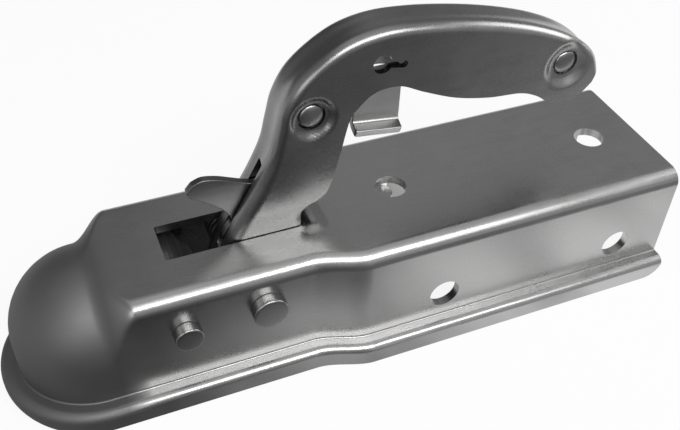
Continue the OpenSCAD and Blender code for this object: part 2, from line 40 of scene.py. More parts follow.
print("frame loaded:", len(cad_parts), "nodes")

mm = 0.001   # every size below is in millimetres, the meshes are in metres


# tools for shapes

# smooth step: 3 t squared minus 2 t cubed, held at 0 and 1 outside
def ease(t):
    t = np.clip(t, 0.0, 1.0)
    return t*t*(3 - 2*t)


# each vector divided by its own length
def unit(v):
    return v/np.linalg.norm(v, axis=-1, keepdims=True)


# points on a circle about (cx, cy), from one angle in degrees to another
def arcPoints(cx, cy, radius, start, stop, count):
    a = np.radians(np.linspace(start, stop, count))
    return np.stack([cx + radius*np.cos(a), cy + radius*np.sin(a)], -1)


# cubic through four neighbours for t from 0 to 1, the curve that passes through each given point
def cubicBlend(a, b, c, d, t):
    return 0.5*(2*b + (c - a)*t + (2*a - 5*b + 4*c - d)*t*t + (3*b - a - 3*c + d)*t**3)


# open smooth curve through the points, steps pieces between two of them
def openCurve(points, steps):
    p = np.asarray(points, float)
    q = np.concatenate([p[:1], p, p[-1:]])
    t = np.arange(steps)[None, :, None]/steps
    run = cubicBlend(q[:-3, None], q[1:-2, None], q[2:-1, None], q[3:, None], t).reshape(-1, p.shape[1])
    return np.concatenate([run, p[-1:]])


# corners of a closed outline replaced by short curves that start and stop at the given distance
def roundCorners(points, radii, steps=6):
    p = np.asarray(points, float)
    r = np.broadcast_to(np.asarray(radii, float), len(p))[:, None]
    before, after = np.roll(p, 1, 0) - p, np.roll(p, -1, 0) - p
    lenB, lenA = np.linalg.norm(before, axis=1, keepdims=True), np.linalg.norm(after, axis=1, keepdims=True)
    a = p + before/lenB*np.minimum(r, 0.49*lenB)
    b = p + after/lenA*np.minimum(r, 0.49*lenA)
    t = np.linspace(0, 1, steps + 1)[None, :, None]
    bent = (1 - t)**2*a[:, None] + 2*t*(1 - t)*p[:, None] + t*t*b[:, None]
    out = bent.reshape(-1, 2)
    keep = np.linalg.norm(out - np.roll(out, 1, 0), axis=1) > 1e-5
    return out[keep]


# quads of a grid numbered row by row; wrap closes the columns round
def gridQuads(rows, cols, wrap=False):
    i, j = np.meshgrid(np.arange(rows - 1), np.arange(cols if wrap else cols - 1), indexing="ij")
    k = (j + 1) % cols
    return np.stack([i*cols + j, i*cols + k, (i + 1)*cols + k, (i + 1)*cols + j], -1).reshape(-1, 4)


# the faces that close a sheet between its outer and inner skin, at both ends of its path
def sheetEnds(rows, cols):
    j = np.arange(cols//2 - 1)
    strip = np.stack([j, j + 1, cols - 2 - j, cols - 1 - j], -1)
    return [strip, strip + (rows - 1)*cols]


# a mesh object from points in millimetres; doubles are merged and faces turned outwards
def newPiece(name, points, faces):
    mesh = bpy.data.meshes.new(name)
    mesh.from_pydata((np.asarray(points, float)*mm).tolist(), [], [list(map(int, f)) for f in faces])
    piece = bpy.data.objects.new(name, mesh)
    scene.collection.objects.link(piece)
    tidyMesh(piece)
    return piece


# doubles merged and faces turned outwards; faces within so many degrees of flat can be joined
def tidyMesh(piece, flatten=0.0):
    bm = bmesh.new()
    bm.from_mesh(piece.data)
    bmesh.ops.remove_doubles(bm, verts=bm.verts, dist=1e-6)
    bmesh.ops.dissolve_degenerate(bm, edges=bm.edges, dist=1e-7)
    if flatten:
        bmesh.ops.dissolve_limit(bm, angle_limit=math.radians(flatten), use_dissolve_boundaries=False,
                                 verts=bm.verts, edges=bm.edges, delimit=set())
    bmesh.ops.recalc_face_normals(bm, faces=bm.faces)
    bm.to_mesh(piece.data)
    bm.free()


# the piece with its modifiers made part of its mesh
def settle(piece):
    bpy.context.view_layer.update()
    made = bpy.data.meshes.new_from_object(piece.evaluated_get(bpy.context.evaluated_depsgraph_get()))
    old, name = piece.data, piece.data.name
    piece.modifiers.clear()
    piece.data = made
    bpy.data.meshes.remove(old)
    made.name = name


# cutters are taken out of the piece, or joined to it, and then deleted
def carve(piece, cutters, how="DIFFERENCE"):
    for cutter in cutters:
        step = piece.modifiers.new("carve", "BOOLEAN")
        step.operation, step.solver, step.object = how, "EXACT", cutter
    settle(piece)
    for cutter in cutters:
        old = cutter.data
        bpy.data.objects.remove(cutter)
        bpy.data.meshes.remove(old)


# rounded edges and smooth shading, with the edges sharper than the angle kept crisp
def finishEdges(piece, width, segments=2, angle=32.0, crisp=40.0, clamp=True):
    if width:
        step = piece.modifiers.new("edges", "BEVEL")
        step.width, step.segments = width*mm, segments
        step.limit_method, step.angle_limit = "ANGLE", math.radians(angle)
        step.miter_outer = "MITER_ARC"
        step.use_clamp_overlap = clamp
        settle(piece)
    piece.data.shade_smooth()
    piece.data.set_sharp_from_angle(angle=math.radians(crisp))
    # large flat faces keep their own direction, the rounded edges turn between them
    step = piece.modifiers.new("shading", "WEIGHTED_NORMAL")
    step.keep_sharp, step.weight = True, 80
    settle(piece)


# an outline carried straight along one axis: two end faces and a wall;
# edge rounds both rims by a quarter circle
def plate(name, outline, axis, low, high, edge=0.0, steps=3):
    p = np.asarray(outline, float)
    area = 0.5*np.sum(p[:, 0]*np.roll(p[:, 1], -1) - np.roll(p[:, 0], -1)*p[:, 1])
    p = p if area > 0 else p[::-1]
    tangent = unit(np.roll(p, -1, 0) - np.roll(p, 1, 0))
    inward = np.stack([-tangent[:, 1], tangent[:, 0]], -1)
    if edge:
        a = np.radians(np.linspace(0, 90, steps + 1))
        inset = np.concatenate([edge*(1 - np.sin(a)), edge*(1 - np.sin(a))[::-1]])
        level = np.concatenate([low + edge*(1 - np.cos(a)), high - edge*(1 - np.cos(a))[::-1]])
    else:
        inset, level = np.zeros(2), np.array([low, high])
    flat = p[None] + inward[None]*inset[:, None, None]
    deep = np.broadcast_to(level[:, None, None], flat.shape[:2] + (1,))
    order = {"x": (2, 0, 1), "y": (0, 2, 1), "z": (0, 1, 2)}[axis]
    points = np.concatenate([flat, deep], -1)[..., order].reshape(-1, 3)
    n, rows = len(p), len(level)
    faces = gridQuads(rows, n, wrap=True).tolist()
    faces += [list(range(n))[::-1], list(range((rows - 1)*n, rows*n))]
    return newPiece(name, points, faces)


# a profile of (radius, distance along Y) turned round an axis through (x, z)
def turned(name, profile, x, z, count=96, closed=False):
    p = np.asarray(profile, float)
    a = np.linspace(0, 2*np.pi, count, endpoint=False)
    r, y = p[:, :1], np.broadcast_to(p[:, 1:], (len(p), count))
    points = np.stack([x + r*np.cos(a), y, z + r*np.sin(a)], -1).reshape(-1, 3)
    faces = gridQuads(len(p), count, wrap=True).tolist()
    if closed:
        last = (len(p) - 1)*count + np.arange(count)
        first = np.arange(count)
        faces += np.stack([last, np.roll(last, -1), np.roll(first, -1), first], -1).tolist()
    return newPiece(name, points, faces)


# a ring between two radii and two distances along Y, all four rims rounded
def ring(name, x, z, outer, inner, low, high, edge=0.2, count=72):
    box = roundCorners([[inner, low], [outer, low], [outer, high], [inner, high]], edge, 3)
    return turned(name, box, x, z, count, closed=True)


# round wire along a path: at each point a circle square to the path, its two directions from the Y axis
def wire(name, path, radius, count=14):
    p = np.asarray(path, float)
    t = unit(np.gradient(p, axis=0))
    a = unit(np.cross(t, [0.0, 1.0, 0.0]))
    b = np.cross(t, a)
    w = np.linspace(0, 2*np.pi, count, endpoint=False)[None, :, None]
    points = p[:, None] + radius*(np.cos(w)*a[:, None] + np.sin(w)*b[:, None])
    n = len(p)
    faces = gridQuads(n, count, wrap=True).tolist()
    faces += [list(range(count))[::-1], list(range((n - 1)*count, n*count))]
    piece = newPiece(name, points.reshape(-1, 3), faces)
    finishEdges(piece, radius*0.25, 2, 50)
    return piece


# the piece gets its material and body, and stands in for the named nodes
def attach(piece, body, slotName, material, *nodes):
    piece.data.materials.clear()
    piece.data.materials.append(material)
    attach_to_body(piece, body)
    if nodes:
        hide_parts(*nodes)
    return piece


# tools for materials

# a number in a node tree that can be used in sums
class Number:
    def __init__(self, shade, socket):
        self.shade, self.socket = shade, socket

    def math(self, operation, *others):
        return self.shade.number("ShaderNodeMath", {"operation": operation}, dict(enumerate(others)))

    def __add__(self, other):
        return self.math("ADD", self, other)

    def __radd__(self, other):
        return self.math("ADD", other, self)

    def __sub__(self, other):
        return self.math("SUBTRACT", self, other)

    def __rsub__(self, other):
        return self.math("SUBTRACT", other, self)

    def __mul__(self, other):
        return self.math("MULTIPLY", self, other)

    def __rmul__(self, other):
        return self.math("MULTIPLY", other, self)

    def __truediv__(self, other):
        return self.math("DIVIDE", self, other)

    def clamped(self):
        return self.shade.number("ShaderNodeClamp", {}, {"Value": self, "Min": 0.0, "Max": 1.0})


# the nodes of one material or world
class Shade:
    def __init__(self, tree):
        self.tree = tree
        tree.nodes.clear()

    def node(self, kind, settings=None, inputs=None):
        made = self.tree.nodes.new(kind)
        for key, value in (settings or {}).items():
            if key == "stops":
                ramp = made.color_ramp.elements
                while len(ramp) < len(value):
                    ramp.new(0.5)
                for stop, (place, level) in zip(ramp, value):
                    stop.position = place
                    stop.color = (level, level, level, 1) if isinstance(level, float) else (*level, 1)
            else:
                setattr(made, key, value)
        for key, value in (inputs or {}).items():
            if isinstance(value, Number):
                value = value.socket
            if isinstance(value, bpy.types.NodeSocket):
                self.tree.links.new(value, made.inputs[key])
            else:
                made.inputs[key].default_value = value
        return made

    def number(self, kind, settings=None, inputs=None, output=0):
        return Number(self, self.node(kind, settings, inputs).outputs[output])

    # two colours mixed by a number
    def mixed(self, amount, a, b):
        made = self.node("ShaderNodeMix", {"data_type": "RGBA"}, {0: amount, 6: a, 7: b})
        return made.outputs[2]

    # noise at so many blotches per metre, stretched along the axes by the three factors
    def noise(self, place, scale, detail=3.0, rough=0.5, stretch=(1, 1, 1)):
        vector = self.node("ShaderNodeMapping", {}, {"Vector": place, "Scale": stretch}).outputs[0]
        inputs = {"Vector": vector, "Scale": scale, "Detail": detail, "Roughness": rough}
        return self.number("ShaderNodeTexNoise", {}, inputs)


# a grey of the given level; warm is the share that red gains and blue loses
def grey(level, warm=0.0):
    return (level*(1 + warm), level, level*(1 - warm), 1)


# plated sheet: cloudy tone, fine grain, faint drawing marks, and painted shade that darkens the part towards
# its front
def platedSteel(name, look):
    material = bpy.data.materials.new(name)
    material.use_nodes = True
    s = Shade(material.node_tree)
    place = s.node("ShaderNodeTexCoord").outputs["Object"]
    apart = s.node("ShaderNodeSeparateXYZ", {}, {"Vector": place})
    along = Number(s, apart.outputs["X"])
    cloud = s.noise(place, look["cloudScale"], 4.0, 0.55)
    grain = s.noise(place, look["grainScale"], 2.0, 0.6)
    marks = s.noise(place, look["markScale"], 3.0, 0.6, look["markStretch"])
    # painted shade: the colour runs from dark at the front of the part to light towards its rear, between the
    # two given places along X
    tone = ((along - look["shadeDarkX"]*mm)/((look["shadeLightX"] - look["shadeDarkX"])*mm)).clamped()
    tone = tone + (cloud - 0.5)*look["cloud"] + (grain - 0.5)*look["grain"] + (marks - 0.5)*look["mark"]
    colour = s.mixed(tone.clamped(), grey(look["dark"], look["warm"]), grey(look["light"], look["warm"]))
    rough = look["rough"] + (cloud - 0.5)*look["roughCloud"]
    rough = rough + (marks - 0.5)*look["roughMark"] + (grain - 0.5)*look["roughGrain"]
    # towards the nose the colour turns darker and the surface rougher
    nose = ((look["noseEnd"]*mm - along)/(look["noseFade"]*mm)).clamped()
    colour = s.mixed(nose*look["noseDark"], colour, grey(look["noseTone"]))
    rough = rough + nose*look["noseRough"]
    height = grain*look["grainHeight"] + marks*look["markHeight"] + cloud*look["cloudHeight"]
    bump = s.node("ShaderNodeBump", {}, {"Strength": 1.0, "Distance": mm, "Height": height})
    shader = s.node("ShaderNodeBsdfPrincipled", {}, {
        "Base Color": colour, "Metallic": 1.0, "Roughness": rough.clamped(), "Normal": bump.outputs[0]})
    s.node("ShaderNodeOutputMaterial", {}, {"Surface": shader.outputs[0]})
    return material


# the housing gets painted shade: its colour is darker at the front and lighter at the rear
housingFinish = dict(dark=0.36, light=0.50, warm=0.004, shadeDarkX=20, shadeLightX=210, rough=0.29,
                     cloudScale=70, grainScale=2600, markScale=240, markStretch=(0.25, 1, 1),
                     cloud=0.28, grain=0.30, mark=0.18, roughCloud=0.10, roughMark=0.08, roughGrain=0.10,
                     grainHeight=0.010, markHeight=0.012, cloudHeight=0.06,
                     noseEnd=15, noseFade=10, noseRough=0.30, noseDark=0.70, noseTone=0.10)
# the lever gets painted shade: its front and foot are much darker than its handle
leverFinish = dict(housingFinish, dark=0.25, light=0.50, shadeDarkX=105, shadeLightX=200, rough=0.28,
                   markStretch=(0.3, 1, 1))
# the catch gets painted shade where it lies between the lever's plates and painted light on its finger tab
catchFinish = dict(housingFinish, dark=0.17, light=0.66, rough=0.32, shadeDarkX=58, shadeLightX=108)
pinFinish = dict(housingFinish, dark=0.34, light=0.42, rough=0.28, markScale=500,
                 markStretch=(1, 0.2, 1), cloud=0.2)
rivetFinish = dict(pinFinish, dark=0.30, light=0.38, rough=0.30, cloud=0.3)
springFinish = dict(housingFinish, dark=0.10, light=0.18, rough=0.38, shadeDarkX=0, shadeLightX=100)
ironFinish = dict(housingFinish, dark=0.14, light=0.22, rough=0.55, shadeDarkX=0, shadeLightX=60,
                  grainScale=900, grain=0.5, grainHeight=0.05, noseRough=0, noseDark=0)
brassFinish = dict(housingFinish, dark=0.28, light=0.40, warm=0.18, rough=0.38, shadeDarkX=0, shadeLightX=100)

housingZinc = platedSteel("housingZinc", housingFinish)
leverZinc = platedSteel("leverZinc", leverFinish)
catchZinc = platedSteel("catchZinc", catchFinish)
pinSteel = platedSteel("pinSteel", pinFinish)
rivetSteel = platedSteel("rivetSteel", rivetFinish)
springWire = platedSteel("springWire", springFinish)
jawIron = platedSteel("jawIron", ironFinish)
bushBrass = platedSteel("bushBrass", brassFinish)
print("materials made")


# where pins and rivets go across the part, as (x, z)
places = dict(leverPin=(60.0, 13.0), jawPin=(30.0, 11.5), cam=(50.0, 2.0),
              catchRivet=(84.4, 75.4), endRivet=(185.4, 75.3))


# housing: one pressed sheet

housingSize = dict(domeRadius=28.75, sheet=3.5, rearHalf=34.0, rearX=234.0, shoulderLen=14.0,
                   stepX=77.0, stepLen=22.0, topBend=6.0, flangeDrop=13.3, lipDrop=22.0, flangeOut=6.7,
                   lipBend=3.6, foot=0.7, noseRise=3.5,
                   lipCorner=8.4, slotX=29.0, slotLen=52.0, slotHalf=9.2, slotCorner=1.0,
                   padX=84.4, padHalfX=0.8, padHalfY=9.6, padSoft=5.6, padHeight=1.5,
                   boltHole=12.5, topHoles=(120.5, 212.5), sideHoles=(130.3, 210.3), sideHoleZ=-1.8,
                   pinBores=((places["leverPin"], 5.05), (places["jawPin"], 4.05)),
                   cutBelow=6, cutAbove=5, cutWide=45, edge=0.6)


# half a section at each station: flat top, quarter bend, wall, hollow foot, flange, rounded lip, rim;
# inset is how far the surface lies inside the outer skin
def housingSection(h, half, bend, rim, inset):
    top, t = h["domeRadius"], inset
    k = np.linspace(0, 1, 32)[None, :-1]
    flat = [(half - bend)*k, top - t + 0*half*k]
    a = np.radians(np.linspace(0, 90, 17))[None]
    turn = [half - bend + (bend - t)*np.sin(a), top - bend + (bend - t)*np.cos(a)]
    k = np.linspace(0, 1, 10)[None, 1:-1]
    low = h["foot"] - h["flangeDrop"]
    wall = [half - t + 0*k, (top - bend)*(1 - k) + low*k]
    a = np.radians(np.linspace(180, 270, 8))[None]
    foot = [half + h["foot"] + (h["foot"] + t)*np.cos(a), low + (h["foot"] + t)*np.sin(a) + 0*half]
    a = np.radians(np.linspace(90, 0, 9))[None]
    lip = [half + h["flangeOut"] - h["lipBend"] + (h["lipBend"] - t)*np.cos(a),
           -h["flangeDrop"] - h["lipBend"] + (h["lipBend"] - t)*np.sin(a) + 0*half]
    k = np.linspace(0, 1, 4)[None, 1:]
    edge = [half + h["flangeOut"] - t + 0*k, (-h["flangeDrop"] - h["lipBend"])*(1 - k) + rim*k]
    return (np.concatenate([g[i] for g in (flat, turn, wall, foot, lip, edge)], 1) for i in (0, 1))


# the half section is carried along the near side, half a turn round the nose and back along the far side:
# each point lies its section's width from the middle line, in the direction that the path's angle gives
def makeHousing(h):
    x = np.concatenate([np.linspace(h["rearX"], 100, 40), np.linspace(99.5, 76.5, 47),
                        np.linspace(75.5, 15, 30), np.linspace(14, 0, 22)])
    turn = np.radians(np.linspace(0, 180, 61)[1:-1])
    path = np.concatenate([x, 0*turn, x[::-1]])[:, None]
    angle = np.concatenate([0*x, turn, 0*x + np.pi])[:, None]
    half = h["domeRadius"] + (h["rearHalf"] - h["domeRadius"])*ease((path - h["stepX"])/h["stepLen"])
    bend = h["domeRadius"] + (h["topBend"] - h["domeRadius"])*ease(path/h["shoulderLen"])
    rim = -h["lipDrop"] + h["noseRise"]*np.sin(angle)**2
    outS, outZ = housingSection(h, half, bend, rim, 0.0)
    inS, inZ = housingSection(h, half, bend, rim, h["sheet"])
    side = np.concatenate([outS, inS[:, ::-1]], 1)
    level = np.concatenate([outZ, inZ[:, ::-1]], 1)
    px, py = path - side*np.sin(angle), -side*np.cos(angle)
    # raised pad: a soft-edged rectangle pressed up through the top plate
    dx = np.maximum(np.abs(px - h["padX"]) - h["padHalfX"], 0)
    dy = np.maximum(np.abs(py) - h["padHalfY"], 0)
    flatTop = level > h["domeRadius"] - h["sheet"] - 0.1
    level = level + np.where(flatTop, h["padHeight"]*ease(1 - np.hypot(dx, dy)/h["padSoft"]), 0)
    rows, cols = side.shape
    faces = [gridQuads(rows, cols), *sheetEnds(rows, cols)]
    piece = newPiece("housing_shell", np.stack([px, py, level], -1).reshape(-1, 3), np.concatenate(faces))
    slot = [[h["slotX"], -h["slotHalf"]], [h["slotX"] + h["slotLen"], -h["slotHalf"]],
            [h["slotX"] + h["slotLen"], h["slotHalf"]], [h["slotX"], h["slotHalf"]]]
    top = h["domeRadius"]
    low, high, wide, r = top - h["cutBelow"], top + h["cutAbove"], h["cutWide"], h["boltHole"]/2
    cutters = [plate("slotCutter", roundCorners(slot, h["slotCorner"]), "z", low, high)]
    cutters += [plate("topHoleCutter", arcPoints(x0, 0, r, 0, 356.25, 96), "z", low, high)
                for x0 in h["topHoles"]]
    cutters += [plate("sideHoleCutter", arcPoints(x0, h["sideHoleZ"], r, 0, 356.25, 96), "y", -wide, wide)
                for x0 in h["sideHoles"]]
    cutters += [plate("pinHoleCutter", arcPoints(*at, bore, 0, 354, 60), "y", -wide, wide)
                for at, bore in h["pinBores"]]
    # rear end of the lip: what lies outside a quarter circle goes
    c, rx, bottom = h["lipCorner"], h["rearX"], -h["lipDrop"]
    corner = np.concatenate([arcPoints(rx - c, c + bottom, c, -90, 0, 24),
                             [[rx + 2, c + bottom], [rx + 2, bottom - 2], [rx - c, bottom - 2]]])
    cutters.append(plate("cornerCutter", corner, "y", -wide - 5, wide + 5))
    carve(piece, cutters)
    tidyMesh(piece, 0.03)
    finishEdges(piece, h["edge"], 3, 35, 45)
    return attach(piece, "head", "zinc_sheet", housingZinc, "housing")


makeHousing(housingSize)
print("housing made")


# lever: one pressed U-shaped channel, its plates running down to the pin and the cam

leverSize = dict(half=8.8, sheet=2.5, bend=4.0, footBend=5.4, footTop=72.0, footFade=24.0, webDip=0.5,
                 eye=13.0, lobe=5.6, pin=places["leverPin"], pinBore=5.05, cam=places["cam"], camBore=3.05,
                 rivets=((*places["catchRivet"], 5.2, 9.2), (*places["endRivet"], 5.2, 10.8)),
                 dishDepth=(2.1, 1.2), webSlot=(40, 71, 22, 57), webSlotY=(-3.7, 0.7), webSlotCorner=1,
                 lockHole=(108.9, 92.1, 3.55), notchLen=9.4, notchWidth=2.7, notchTurn=-10.5, edge=0.7)
webLine = [[52.5, 29], [58.6, 41], [64.6, 52], [69.4, 62], [71.7, 71], [74.1, 80.3], [79.2, 89.4],
           [88, 97], [98, 102.2], [110, 104.4], [124, 103.8], [139, 101.6], [153, 98.6], [166, 94.9],
           [176, 91.2], [185, 86.9], [192.5, 82], [197.8, 77], [200.2, 71.5]]
edgeLine = [[79.2, 28], [80.5, 36.2], [88.5, 40.6], [91.8, 47], [94.6, 58], [97.7, 71.7], [101, 76.6],
            [105.5, 80.6], [110.5, 82.1], [117, 81.6], [126, 77.2], [139, 71.8], [153, 68.6], [166, 67.4],
            [173.5, 64.6], [180, 60.3], [186.8, 58.6], [193.2, 60.2], [198.3, 65.2]]


# half the U section at each station: side plate from its lower edge, quarter bend, half the web
def leverSection(v, web, edge, inset):
    d = unit(edge - web)
    run = unit(np.gradient(web, axis=0))
    thick = inset/np.maximum(0.5, np.abs(run[:, :1]*d[:, 1:] - run[:, 1:]*d[:, :1]))
    wide = v["bend"] + (v["footBend"] - v["bend"])*ease((v["footTop"] - web[:, 1:])/v["footFade"])
    r = wide - inset
    start = web + d*(thick + r)
    k = np.linspace(0, 1, 30)[None, :-1, None]
    side = edge[:, None]*(1 - k) + start[:, None]*k
    a = np.radians(np.linspace(0, 90, 11))[None, :, None]
    turn = web[:, None] + d[:, None]*(thick[:, None] + r[:, None]*(1 - np.sin(a)))
    k = np.linspace(1, 0, 7)[None, 1:, None]
    back = (web + d*thick)[:, None] + v["webDip"]*(1 - k*k)**2*d[:, None]
    n = len(web)
    width = np.concatenate([np.full((n, side.shape[1]), v["half"] - inset),
                            v["half"] - wide + r*np.cos(a[0, :, 0]),
                            (v["half"] - wide)*k[0, :, 0]], 1)
    return np.concatenate([side, turn, back], 1), width


# the channel is the half section at each point of the web line, and its mirror image. The lobes touch arcs
# round the pin and the cam; the cosine of their tangent's angle is the gap of the radii over the distance
def makeLever(v):
    pin, cam = np.array(v["pin"]), np.array(v["cam"])
    toCam = math.degrees(math.atan2(*(cam - pin)[::-1]))
    spread = math.degrees(math.acos((v["eye"] - v["lobe"])/np.linalg.norm(cam - pin)))
    lobeStart = arcPoints(*pin, v["eye"], toCam - spread, 0, 2)[0]
    lobeEnd = arcPoints(*pin, v["eye"], 13, 0, 2)[0]
    web = openCurve([lobeStart, *webLine], 12)
    edge = openCurve([lobeEnd, *edgeLine], 12)
    outP, outY = leverSection(v, web, edge, 0.0)
    inP, inY = leverSection(v, web, edge, v["sheet"])

    # dish pressed into both plates round each rivet: the sheet goes in along a smooth step
    def dished(p, y, depth):
        for x0, z0, inner, outer in v["rivets"]:
            r = np.hypot(p[..., 0] - x0, p[..., 1] - z0)
            y = y - depth*ease((outer - r)/(outer - inner - 0.5))*(y > v["half"] - v["sheet"] - 0.05)
        return y
    nearDip, farDip = v["dishDepth"]
    p = np.concatenate([outP, outP[:, -2::-1], inP, inP[:, -2::-1]], 1)
    y = np.concatenate([-dished(outP, outY, nearDip), dished(outP, outY, farDip)[:, -2::-1],
                        dished(inP, inY, farDip), -dished(inP, inY, nearDip)[:, -2::-1]], 1)
    points = np.stack([p[..., 0], y, p[..., 1]], -1)
    rows, cols = y.shape
    faces = [gridQuads(rows, cols, wrap=True), *sheetEnds(rows, cols)]
    piece = newPiece("lever_channel", points.reshape(-1, 3), np.concatenate(faces))
    # lobes round the pin and the cam, joined to the plates
    along = unit(lobeEnd - lobeStart)
    up = np.array([-along[1], along[0]])
    lobe = np.concatenate([[lobeEnd - 0.6*along + 1.5*up, lobeStart + (v["footBend"] + 1.0)*along + 1.5*up],
                           arcPoints(*cam, v["lobe"], toCam - spread, toCam + spread, 30),
                           arcPoints(*pin, v["eye"], toCam + spread, 12.5, 40)])
    lobes = [plate("lobe", lobe, "y", s*(v["half"] - v["sheet"]/2) - v["sheet"]/2 + 0.02,
                   s*(v["half"] - v["sheet"]/2) + v["sheet"]/2 - 0.02) for s in (-1, 1)]
    carve(piece, lobes, "UNION")
    wide = v["half"] + 3
    holes = [(*v["pin"], v["pinBore"]), (*v["cam"], v["camBore"])]
    holes += [(x, z, inner - 0.05) for x, z, inner, outer in v["rivets"]]
    cutters = [plate("holeCutter", arcPoints(x, z, r, 0, 355, 72), "y", -wide, wide) for x, z, r in holes]
    x, z, r = v["lockHole"]
    a = math.radians(v["notchTurn"])
    b = math.degrees(math.asin(v["notchWidth"]/2/r))
    hole = arcPoints(0, 0, r, b, 360 - b, 60)
    notch = arcPoints(v["notchLen"] - v["notchWidth"]/2, 0, v["notchWidth"]/2, -90, 90, 9)
    keyhole = np.concatenate([hole, notch])
    keyhole = keyhole@np.array([[math.cos(a), math.sin(a)], [-math.sin(a), math.cos(a)]]) + [x, z]
    cutters.append(plate("keyholeCutter", keyhole, "y", -wide, wide))
    x0, x1, z0, z1 = v["webSlot"]
    slot = roundCorners([[x0, z0], [x1, z0], [x1, z1], [x0, z1]], v["webSlotCorner"])
    cutters.append(plate("webSlotCutter", slot, "y", *v["webSlotY"]))
    carve(piece, cutters)
    tidyMesh(piece, 0.03)
    finishEdges(piece, v["edge"], 3, 35, 45)
    return attach(piece, "lever_arm", "lever_sheet", leverZinc, "lever")


makeLever(leverSize)
print("lever made")


# catch: a flat blank, its lower flap bent out into the finger tab

catchSize = dict(faceY=-3.0, thick=3.0, bendRadius=1.5, bendSteps=12, tabFall=17.5, tabReach=4.4,
                 lineX=119.5, lineZ=65.3, lineSlope=7.1, tabLen=18.2, tabCorner=1.2, tabRear=0.8,
                 topRear=(119.6, 85.2), eye=5.3, edge=0.4)
catchOutline = [[42.2, 53.9], [46, 55.2], [51.3, 54.2], [56.6, 52], [61, 50.2], [66, 49], [71, 52],
                [74.6, 60.5], [76, 68], [76.9, 75.4], [79.2, 80.6], [84.4, 83.2], [92, 84], [102, 85.6],
                [112, 86.2], [118.6, 86.2]]
catchUnder = [[101.4, 71], [94, 64], [86, 58], [77, 48.5], [69, 39], [62.5, 30.5], [57.5, 24.6],
              [53.6, 24], [51.2, 26.4], [53, 30.4], [55.2, 34.4], [52.4, 40],
              [46.2, 45.4], [41.4, 48.6], [40, 51.2]]


# the flat outline is bent along a line: distance from it, over the radius of the bend's middle, becomes an
# angle up to the full turn, and the rest runs straight on; then the sheet gets its thickness
def makeCatch(c):
    slope = math.radians(c["lineSlope"])
    alongLine = np.array([math.cos(slope), -math.sin(slope)])
    down = np.array([-math.sin(slope), -math.cos(slope)])
    hinge = np.array([c["lineX"], c["lineZ"]])
    turnBy = math.radians(90 - c["tabFall"])
    # length of the flat flap: the bend's middle line and the straight run
    middle = c["bendRadius"] + c["thick"]/2
    straight = (c["tabReach"] - c["bendRadius"]*(1 - math.cos(turnBy)))/math.sin(turnBy)
    flap = middle*turnBy + straight
    front, rear = hinge - alongLine*c["tabLen"], hinge
    upper = openCurve(catchOutline, 4)
    under = openCurve(catchUnder, 4)
    corner = roundCorners([rear, rear + down*flap, front + down*flap, front],
                          [0, c["tabRear"], c["tabCorner"], 0], 8)
    corner = corner[np.linalg.norm(corner - np.roll(corner, 1, 0), axis=1) > 1e-6]
    order = np.argsort(np.linalg.norm(corner - rear, axis=1))[0]
    corner = np.roll(corner, -order, 0)
    outline = np.concatenate([upper, [c["topRear"]], corner, under])
    x, z = outline.T
    points = np.stack([x, 0*x + c["faceY"], z], -1)
    piece = newPiece("catch_plate_bent", points, [list(range(len(outline)))])
    bm = bmesh.new()
    bm.from_mesh(piece.data)
    normal = Vector((down[0], 0, down[1]))
    for k in range(c["bendSteps"] + 1):
        at = hinge + down*(middle*turnBy*k/c["bendSteps"])
        bmesh.ops.bisect_plane(bm, geom=bm.verts[:] + bm.edges[:] + bm.faces[:], dist=1e-7,
                               plane_co=Vector((at[0]*mm, 0, at[1]*mm)), plane_no=normal)
    bm.to_mesh(piece.data)
    bm.free()
    # the flap below the line turns towards the near side: round an arc first, then straight on
    n = len(piece.data.vertices)
    co = np.empty(n*3, np.float32)
    piece.data.vertices.foreach_get("co", co)
    co = co.reshape(-1, 3).astype(float)/mm
    flat = co[:, [0, 2]] - hinge
    depth = flat@down
    low = (depth > 1e-4) & (flat@alongLine > -c["tabLen"] - 0.5)
    radius = c["bendRadius"]
    angle = np.clip(depth/middle, 0, turnBy)
    over = np.maximum(depth - middle*turnBy, 0)
    out = radius*(1 - np.cos(angle)) + over*math.sin(turnBy)
    drop = radius*np.sin(angle) + over*math.cos(turnBy)
    base = hinge + (flat@alongLine)[:, None]*alongLine
    bent = base + down*drop[:, None]
    co[low, 0], co[low, 2] = bent[low, 0], bent[low, 1]
    co[low, 1] = c["faceY"] - out[low]
    piece.data.vertices.foreach_set("co", (co*mm).astype(np.float32).ravel())
    # this is the near face; the sheet grows from it to the far side
    facing = -1.0 if sum(f.normal.y*f.area for f in piece.data.polygons) < 0 else 1.0
    step = piece.modifiers.new("sheet", "SOLIDIFY")
    step.thickness, step.offset, step.use_even_offset = c["thick"]*mm, facing, True
    settle(piece)
    eye = arcPoints(*places["catchRivet"], c["eye"], 0, 355, 72)
    carve(piece, [plate("eyeCutter", eye, "y", c["faceY"] - c["thick"], c["thick"])])
    tidyMesh(piece, 0.03)
    finishEdges(piece, c["edge"], 3, 40, 45, clamp=False)
    return attach(piece, "catch_plate", "catch_sheet", catchZinc, "catch")


makeCatch(catchSize)
print("catch made")


# pins, rivets and what turns on them

# each pin: its place, then the radius of its shank and of its head
pinSize = dict(wall=28.75, headHeight=4.5, endHeight=2.6,
               lever=(*places["leverPin"], 5.0, 6.7), jaw=(*places["jawPin"], 4.0, 5.2))


